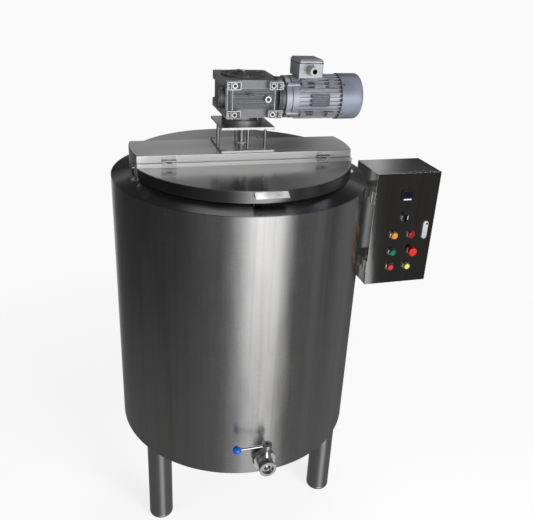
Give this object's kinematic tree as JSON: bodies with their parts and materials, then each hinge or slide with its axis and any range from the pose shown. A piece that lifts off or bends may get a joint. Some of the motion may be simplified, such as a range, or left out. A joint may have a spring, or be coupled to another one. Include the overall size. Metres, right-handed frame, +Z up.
{
  "type": "bulk milk tank",
  "caption": "Insulated, jacketed upright milk tank with half-moon lids, a bridge-mounted worm-geared agitator, outlet ball valve and side control cabinet.",
  "frame": {"origin": "on the floor at the tank's vertical axis, the centre of the three legs' circle", "axes": "+Z up along the tank's axis, -Y towards the outlet valve (front), +X towards the control cabinet"},
  "size_m": [1.017, 0.841, 1.4712],
  "materials": {
    "brushed_stainless": "vertical brushed",
    "polished_stainless": "polished",
    "foam": "rigid foam",
    "silicone": "matte",
    "ptfe": "smooth",
    "cast_aluminium": "grey painted die casting",
    "grey_cover": "satin",
    "zinc_steel": "zinc plated",
    "bronze": "machined",
    "stator_steel": "laminated",
    "black_plastic": "satin",
    "dark_stainless": "mirror",
    "green_plastic": "gloss",
    "red_plastic": "gloss",
    "yellow_plastic": "gloss",
    "lamp_lens": "translucent",
    "blue_plastic": "gloss",
    "switch_plastic": "moulded"
  },
  "bodies": {
    "tank": {"outer_shell": "brushed_stainless", "shoulder_cone": "brushed_stainless", "bottom_plate": "brushed_stainless", "inner_vessel": "brushed_stainless", "cooling_jacket": "brushed_stainless", "legs": "brushed_stainless", "bridge": "brushed_stainless", "bridge_brackets": "brushed_stainless", "stand_base_plate": "brushed_stainless", "stand_top_plate": "brushed_stainless", "cabinet_bracket": "brushed_stainless", "outlet_pipe": "polished_stainless", "valve_body": "polished_stainless", "union_nut": "polished_stainless", "stand_posts": "polished_stainless", "fixed_hinge_leaves": "polished_stainless", "seal_housing": "polished_stainless", "insulation": "foam", "lid_gasket": "silicone", "shaft_seal": "ptfe", "gearbox_housing": "cast_aluminium", "gearbox_cover": "cast_aluminium", "output_flange": "cast_aluminium", "worm_end_cap": "cast_aluminium", "motor_frame": "cast_aluminium", "motor_end_shields": "cast_aluminium", "terminal_box": "cast_aluminium", "fan_cover": "grey_cover", "gearbox_screws": "zinc_steel", "drive_bearings": "zinc_steel", "cable_glands": "zinc_steel", "stator": "stator_steel", "cabinet_body": "dark_stainless", "switchgear": "switch_plastic"},
    "front_lid": {"front_lid": "brushed_stainless", "front_lid_handle": "brushed_stainless", "front_lid_hinges": "polished_stainless"},
    "rear_lid": {"rear_lid": "brushed_stainless", "rear_lid_handle": "brushed_stainless", "rear_lid_hinges": "polished_stainless"},
    "agitator": {"agitator_shaft": "polished_stainless", "agitator_paddle": "polished_stainless", "worm_wheel": "bronze"},
    "motor_rotor": {"rotor": "zinc_steel", "worm": "zinc_steel", "cooling_fan": "black_plastic"},
    "door": {"cabinet_door": "dark_stainless", "door_hinges": "polished_stainless", "display": "black_plastic", "control_bodies": "polished_stainless", "indicator_lamps": "lamp_lens"},
    "lock": {"lock_lever": "polished_stainless"},
    "selector": {"selector_knob": "black_plastic"},
    "green_button": {"button_green": "green_plastic"},
    "red_button": {"button_red": "red_plastic"},
    "yellow_button": {"button_yellow": "yellow_plastic"},
    "stop_button": {"button_stop": "red_plastic"},
    "valve": {"valve_ball": "polished_stainless", "valve_handle": "polished_stainless", "valve_knob": "blue_plastic"}
  },
  "joints": [
    {"name": "front_lid_hinge", "type": "hinge", "parent": "tank", "child": "front_lid", "pos_m": [0, -0.0956, 1.2], "axis": [-1, 0, 0], "range_deg": [0, 78]},
    {"name": "rear_lid_hinge", "type": "hinge", "parent": "tank", "child": "rear_lid", "pos_m": [0, 0.0736, 1.2], "axis": [1, 0, 0], "range_deg": [0, 85]},
    {"name": "agitator_spin", "type": "hinge", "parent": "tank", "child": "agitator", "pos_m": [0, 0, 1.2], "axis": [0, 0, 1], "continuous": true},
    {"name": "motor_spin", "type": "hinge", "parent": "tank", "child": "motor_rotor", "pos_m": [0.2, -0.063, 1.366], "axis": [1, 0, 0], "continuous": true},
    {"name": "door_hinge", "type": "hinge", "parent": "tank", "child": "door", "pos_m": [0.4175, -0.0455, 0.937], "axis": [0, 0, -1], "range_deg": [0, 90]},
    {"name": "lock_turn", "type": "hinge", "parent": "door", "child": "lock", "pos_m": [0.612, -0.062, 0.955], "axis": [0, -1, 0], "range_deg": [0, 90]},
    {"name": "selector_turn", "type": "hinge", "parent": "door", "child": "selector", "pos_m": [0.535, -0.062, 0.979], "axis": [0, 1, 0], "range_deg": [-45, 45]},
    {"name": "valve_turn", "type": "hinge", "parent": "tank", "child": "valve", "pos_m": [0, -0.413, 0.375], "axis": [0, 0, 1], "range_deg": [0, 90]},
    {"name": "green_button_press", "type": "slide", "parent": "door", "child": "green_button", "axis": [0, 1, 0], "range_m": [0, 0.004], "stiffness_N_per_m": 600, "springref_m": -0.004},
    {"name": "red_button_press", "type": "slide", "parent": "door", "child": "red_button", "axis": [0, 1, 0], "range_m": [0, 0.004], "stiffness_N_per_m": 600, "springref_m": -0.004},
    {"name": "yellow_button_press", "type": "slide", "parent": "door", "child": "yellow_button", "axis": [0, 1, 0], "range_m": [0, 0.004], "stiffness_N_per_m": 600, "springref_m": -0.004},
    {"name": "stop_button_press", "type": "slide", "parent": "door", "child": "stop_button", "axis": [0, 1, 0], "range_m": [0, 0.005], "stiffness_N_per_m": 600, "springref_m": -0.004}
  ],
  "couplings": [
    {"joint": "motor_spin", "follows": "agitator_spin", "ratio": 30}
  ]
}
